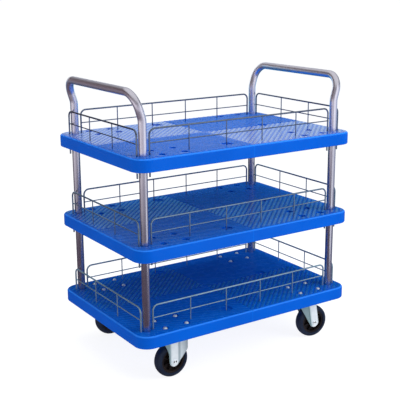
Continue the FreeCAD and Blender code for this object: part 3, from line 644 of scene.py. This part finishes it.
# the pieces that look different from their slot, by how their names start
OWN_LOOKS = (
    ("handle_left", "handle_tube"),
    ("handle_right", "handle_tube"),
    ("fixed_bracket", "bracket_zinc"),
    ("swivel_fork", "fork_zinc"),
    ("fixed_axles", "axle_steel"),
    ("axle_fr", "axle_steel"),
    ("axle_br", "axle_steel"),
    # painted light: the lower tiers' wires and beads take paler copies of the wire's look
    ("rail_low_", "low_rail_wire_painted_light"),
    ("welds_low_", "low_rail_wire_painted_light"),
    ("rail_middle_", "middle_rail_wire_painted_light"),
    ("welds_middle_", "middle_rail_wire_painted_light"),
)


def look_of(name, slot):
    """The material a piece shows: its own look, or its slot's."""
    for stem, look in OWN_LOOKS:
        if name.startswith(stem):
            return materials[look]
    return materials[slot]


def dress_nodes():
    for part in frame["record"]["subparts"]:
        mesh = nodes[part["node"]].data
        mesh.materials.clear()
        mesh.materials.append(look_of(part["node"], part["material_slot"]))


# ---- building shapes -----------------------------------------------------------------------

class Shape:
    """Points and faces gathered from simple solids, to make one piece of."""

    def __init__(self):
        self.points = []
        self.faces = []

    def block(self, lower, upper, flipped=False):
        """Six faces between two rings of four points; flipped where the rings run clockwise."""
        base = len(self.points)
        self.points += lower + upper
        for quad in ((0, 3, 2, 1), (4, 5, 6, 7), (0, 1, 5, 4), (1, 2, 6, 5), (2, 3, 7, 6), (3, 0, 4, 7)):
            self.faces.append(tuple(base + k for k in (reversed(quad) if flipped else quad)))

    def prism(self, outline, low, high, place):
        """Extrude an outline of (x, z) along Y from low to high."""
        base = len(self.points)
        count = len(outline)
        for y in (low, high):
            self.points += [place @ Vector((x, y, z)) for x, z in outline]
        self.faces.append(tuple(base + k for k in range(count)))
        self.faces.append(tuple(base + 2 * count - 1 - k for k in range(count)))
        for k in range(count):
            following = (k + 1) % count
            self.faces.append((base + following, base + k, base + count + k,
                               base + count + following))

    def lathe(self, section, place, steps=96):
        """Turn a closed section of (y, radius) about the Y axis."""
        base = len(self.points)
        count = len(section)
        for step in range(steps):
            angle = 2 * math.pi * step / steps
            self.points += [place @ Vector((r * math.cos(angle), y, r * math.sin(angle)))
                            for y, r in section]
        for step in range(steps):
            here = base + step * count
            there = base + (step + 1) % steps * count
            for k in range(count):
                following = (k + 1) % count
                self.faces.append((here + k, here + following, there + following, there + k))

    def ball(self, centre, radius, flat, rings=6, around=10):
        """A small sphere, its height times `flat`."""
        base = len(self.points)
        top = Vector((0, 0, radius * flat))
        self.points.append(centre + top)
        for ring in range(1, rings):
            tilt = math.pi * ring / rings
            out = radius * math.sin(tilt)
            for k in range(around):
                angle = 2 * math.pi * k / around
                self.points.append(centre + Vector((out * math.cos(angle), out * math.sin(angle), 0))
                                   + top * math.cos(tilt))
        self.points.append(centre - top)
        last = len(self.points) - 1
        for k in range(around):
            after = (k + 1) % around
            self.faces.append((base, base + 1 + k, base + 1 + after))
            self.faces.append((last, last - around + after, last - around + k))
            for ring in range(rings - 2):
                row = base + 1 + ring * around
                self.faces.append((row + k, row + around + k, row + around + after, row + after))

    def finish(self, name, slot, body, smooth=False, look=None):
        """Add the piece to the scene, on its body; it shows the material `look` where one is given."""
        mesh = bpy.data.meshes.new(name)
        mesh.from_pydata(self.points, [], self.faces)
        mesh.validate()
        mesh.materials.append(materials[look] if look else look_of(name, slot))
        piece = bpy.data.objects.new(name, mesh)
        bpy.context.scene.collection.objects.link(piece)
        for face in mesh.polygons:
            face.use_smooth = smooth
        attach(piece, body)


# ---- the decks' tread: fine raised ribs at 45 degrees, in diamonds round the deck's middle ----

RIB_PITCH = 16.2 * MM
RIB_STEP = RIB_PITCH * math.sqrt(2)    # between ribs, along X or Y
RIB_FOOT = 10 * MM
RIB_TOP = 7 * MM
RIB_HEIGHT = 1.3 * MM
RIB_SUNK = 0.1 * MM
RIB_SHORTEST = 6 * MM
TREAD_INSET = 11 * MM
TREAD_SEAM = 3 * MM
DECK_CORNER = 50 * MM

# how far the ribs stay from the middle of a dish, a post, a rail's leg and a caster bolt
CLEAR_OF_DISH = 21.5 * MM
CLEAR_OF_POST = 17 * MM
CLEAR_OF_LEG = 5.5 * MM
CLEAR_OF_BOLT = 14.5 * MM


def deck_holes():
    """Everything the ribs stop short of: (x, y, radius)."""
    holes = [(x, y, CLEAR_OF_DISH) for x, y in DISHES]
    for a, b in CORNERS.values():
        holes.append((a * POST_AT[0], b * POST_AT[1], CLEAR_OF_POST))
        holes.append((a * SIDE_RAIL_HALF, b * POST_AT[1], CLEAR_OF_LEG))
        holes.append((a * END_RAIL_AT, b * POST_AT[1], CLEAR_OF_LEG))
        for i, j in CORNERS.values():
            holes.append((a * CASTER_AT[0] + i * BOLT_HALF[0],
                          b * CASTER_AT[1] + j * BOLT_HALF[1], CLEAR_OF_BOLT))
    return holes


def without(spans, low, high):
    """The spans with the stretch low..high taken out."""
    left = []
    for first, last in spans:
        if high <= first or low >= last:
            left.append((first, last))
            continue
        if low > first:
            left.append((first, low))
        if high < last:
            left.append((high, last))
    return left


def rib_spans(c, along, across, sides, holes):
    """The stretches of x, in one quarter, where the rib |x| + |y| = c is on the tread.

    The tread ends at `along` in x and `across` in y, with a rounded corner between them.
    """
    low = max(TREAD_SEAM, c - across)
    high = min(along, c - TREAD_SEAM)
    corner = DECK_CORNER - TREAD_INSET
    corner_x, corner_y = along - corner, across - corner
    past = (c - corner_x - corner_y) / math.sqrt(2)
    if past > 0 and high > corner_x:
        if past >= corner:
            return []
        half = math.sqrt((corner ** 2 - past ** 2) / 2)
        centre = (c + corner_x - corner_y) / 2
        low = max(low, centre - half)
        high = min(high, centre + half)
    if high <= low:
        return []
    spans = [(low, high)]
    for hole_x, hole_y, radius in holes:
        x, y = hole_x * sides[0], hole_y * sides[1]
        away = (c - x - y) / math.sqrt(2)
        if abs(away) < radius:
            half = math.sqrt((radius ** 2 - away ** 2) / 2)
            centre = (c + x - y) / 2
            spans = without(spans, centre - half, centre + half)
    return [span for span in spans if span[1] - span[0] > RIB_SHORTEST]


def rib_ring(first, last, sideways, up):
    """The four corners of a rib's foot or top, half its width sideways from its middle line."""
    level = Vector((0, 0, up))
    return [first - sideways + level, last - sideways + level,
            last + sideways + level, first + sideways + level]


def make_tread(tier):
    """The raised ribs on one deck's top, as one piece."""
    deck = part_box("deck_" + tier)[1]
    along = deck.x - TREAD_INSET
    across = deck.y - TREAD_INSET
    holes = deck_holes()
    shape = Shape()
    for sides in CORNERS.values():
        outward = Vector((sides[0], sides[1], 0)).normalized()
        slope = Vector((sides[0], -sides[1], 0)).normalized() * (RIB_FOOT - RIB_TOP) / 2
        for step in range(1, int((along + across) / RIB_STEP) + 1):
            c = step * RIB_STEP
            for span in rib_spans(c, along, across, sides, holes):
                first, last = [Vector((x * sides[0], (c - x) * sides[1], 0)) for x in span]
                foot = rib_ring(first, last, outward * RIB_FOOT / 2, deck.z - RIB_SUNK)
                top = rib_ring(first + slope, last - slope, outward * RIB_TOP / 2,
                               deck.z + RIB_HEIGHT)
                shape.block(foot, top, flipped=sides[0] * sides[1] > 0)
    shape.finish("tread_" + tier, "deck_plastic", "cart", look="deck_tread_" + tier)


# ---- small shapes on the wheels, the axles and the rails -----------------------------------

JOINTS = {joint["name"]: joint for joint in frame["record"]["behaviour"]["joints"]}


def axle_place(corner):
    """The axle's own frame: its centre, with Y along the axle."""
    low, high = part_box("tyre_" + corner)
    axis = JOINTS["roll_" + corner]["axis"]
    turn = math.atan2(-axis[0], axis[1])
    return Matrix.Translation((low + high) / 2) @ Matrix.Rotation(turn, 4, "Z")


# the rings on a tyre's sides: each one's radius and half the width of its crest
TYRE_HALF = 18 * MM
RIDGES = ((50.5 * MM, 0.7 * MM), (47.6 * MM, 0.5 * MM))
RIDGE_HIGH = 0.7 * MM
RIDGE_SUNK = 0.3 * MM


def make_tyre_ridges(corner):
    """Two thin moulded rings on each side of a tyre."""
    shape = Shape()
    for side in (-1, 1):
        foot = side * (TYRE_HALF - RIDGE_SUNK)
        crest = side * (TYRE_HALF + RIDGE_HIGH)
        for radius, half in RIDGES:
            section = [(foot, radius - 2 * half), (crest, radius - half),
                       (crest, radius + half), (foot, radius + 2 * half)]
            shape.lathe(section[::side], axle_place(corner))
    shape.finish("tyre_ridges_" + corner, "tyre_rubber", "wheel_" + corner, smooth=True)


# a hub's ribs: from the boss to the rim, and how far out from the wheel's middle they start in
# the web and end at the boss and at the rim
HUB_RIBS = 8
HUB_RIB_FROM = 14.6 * MM
HUB_RIB_TO = 38.6 * MM
HUB_RIB_HALF = 1.6 * MM
HUB_RIB_SUNK = 3.6 * MM
HUB_RIB_AT_BOSS = 14.5 * MM
HUB_RIB_AT_RIM = 11.5 * MM


def make_hub_ribs(corner):
    """Radial ribs between a wheel centre's boss and its rim, on both sides of the web."""
    outline = ((HUB_RIB_FROM, HUB_RIB_SUNK), (HUB_RIB_FROM, HUB_RIB_AT_BOSS),
               (HUB_RIB_TO, HUB_RIB_AT_RIM), (HUB_RIB_TO, HUB_RIB_SUNK))
    shape = Shape()
    for side in (-1, 1):
        for k in range(HUB_RIBS):
            turn = Matrix.Rotation(2 * math.pi * (k + 0.5) / HUB_RIBS, 4, "Y")
            place = axle_place(corner) @ turn
            lower, upper = [[place @ Vector((x, side * y, z)) for x, y in outline]
                            for z in (-HUB_RIB_HALF, HUB_RIB_HALF)]
            shape.block(lower, upper, flipped=side > 0)
    shape.finish("hub_ribs_" + corner, "hub_plastic", "wheel_" + corner)


# the dark marks on an axle's round end, painted shade for its recesses: their radii, the angles in
# degrees where each one starts and ends, and how far out from the wheel's middle that end's face is
MARK_IN = 1.6 * MM
MARK_OUT = 6.2 * MM
MARK_HIGH = 0.25 * MM
MARK_SUNK = 0.1 * MM
MARK_ANGLES = ((-35, 50), (130, 215))
MARK_STEPS = 10
AXLE_END = 30.5 * MM


def make_axle_shade_marks(corner):
    """Two dark marks, standing a little proud of an axle's riveted end beside its bridge: painted
    shade in place of the shade in its recesses.
    """
    side = CORNERS[corner][1]
    shape = Shape()
    for start_at, end_at in MARK_ANGLES:
        angles = [math.radians(start_at + (end_at - start_at) * k / MARK_STEPS)
                  for k in range(MARK_STEPS + 1)]
        rim = [(MARK_OUT * math.cos(t), MARK_OUT * math.sin(t)) for t in angles]
        inner = [(MARK_IN * math.cos(t), MARK_IN * math.sin(t)) for t in reversed(angles)]
        shape.prism(rim + inner, side * (AXLE_END - MARK_SUNK), side * (AXLE_END + MARK_HIGH),
                    axle_place(corner))
    body = "fork_" + corner if corner in ("fr", "br") else "cart"
    shape.finish("axle_marks_" + corner, "hub_plastic", body)


# each rail's bays between its uprights, the way from it to the deck's middle, and how far
RAILS = {
    "front": (5, Vector((0, 1, 0)), POST_AT[1]),
    "back": (5, Vector((0, -1, 0)), POST_AT[1]),
    "left": (3, Vector((1, 0, 0)), END_RAIL_AT),
    "right": (3, Vector((-1, 0, 0)), END_RAIL_AT),
}

# the weld beads: how high over the deck the middle wire's are, how far inward they sit, and each
# wire's radius and flatness
RAIL_MIDDLE_UP = 38.5 * MM
BEAD_OFF = 1.6 * MM
MIDDLE_BEAD = (2.7 * MM, 0.9)
TOP_BEAD = (2.43 * MM, 0.8)


def make_welds(tier):
    """Weld beads where the rails' wires cross, one piece for each rail."""
    deck_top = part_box("deck_" + tier)[1].z
    for name, (bays, inward, far) in RAILS.items():
        low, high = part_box("rail_%s_%s" % (tier, name))
        along = Vector((abs(inward.y), abs(inward.x), 0))
        middle = (low + high).dot(along) / 2
        reach = (high - low).dot(along) / 2 - RAIL_RADIUS
        shape = Shape()
        for step in range(bays + 1):
            at = along * (middle + reach * (2 * step / bays - 1)) + inward * (BEAD_OFF - far)
            shape.ball(at + Vector((0, 0, deck_top + RAIL_MIDDLE_UP)), *MIDDLE_BEAD)
            if 0 < step < bays:
                shape.ball(at + Vector((0, 0, high.z - RAIL_RADIUS)), *TOP_BEAD)
        shape.finish("welds_%s_%s" % (tier, name), "rail_wire", "cart", smooth=True)


# ---- the scene -----------------------------------------------------------------------------

bpy.context.scene.view_settings.view_transform = "Standard"
make_camera()
make_world()
make_floor()
make_screens()
make_lights()
make_materials()
dress_nodes()
for tier_name in TIERS:
    make_tread(tier_name)
    make_welds(tier_name)
for corner_name in CORNERS:
    make_tyre_ridges(corner_name)
    make_hub_ribs(corner_name)
    make_axle_shade_marks(corner_name)
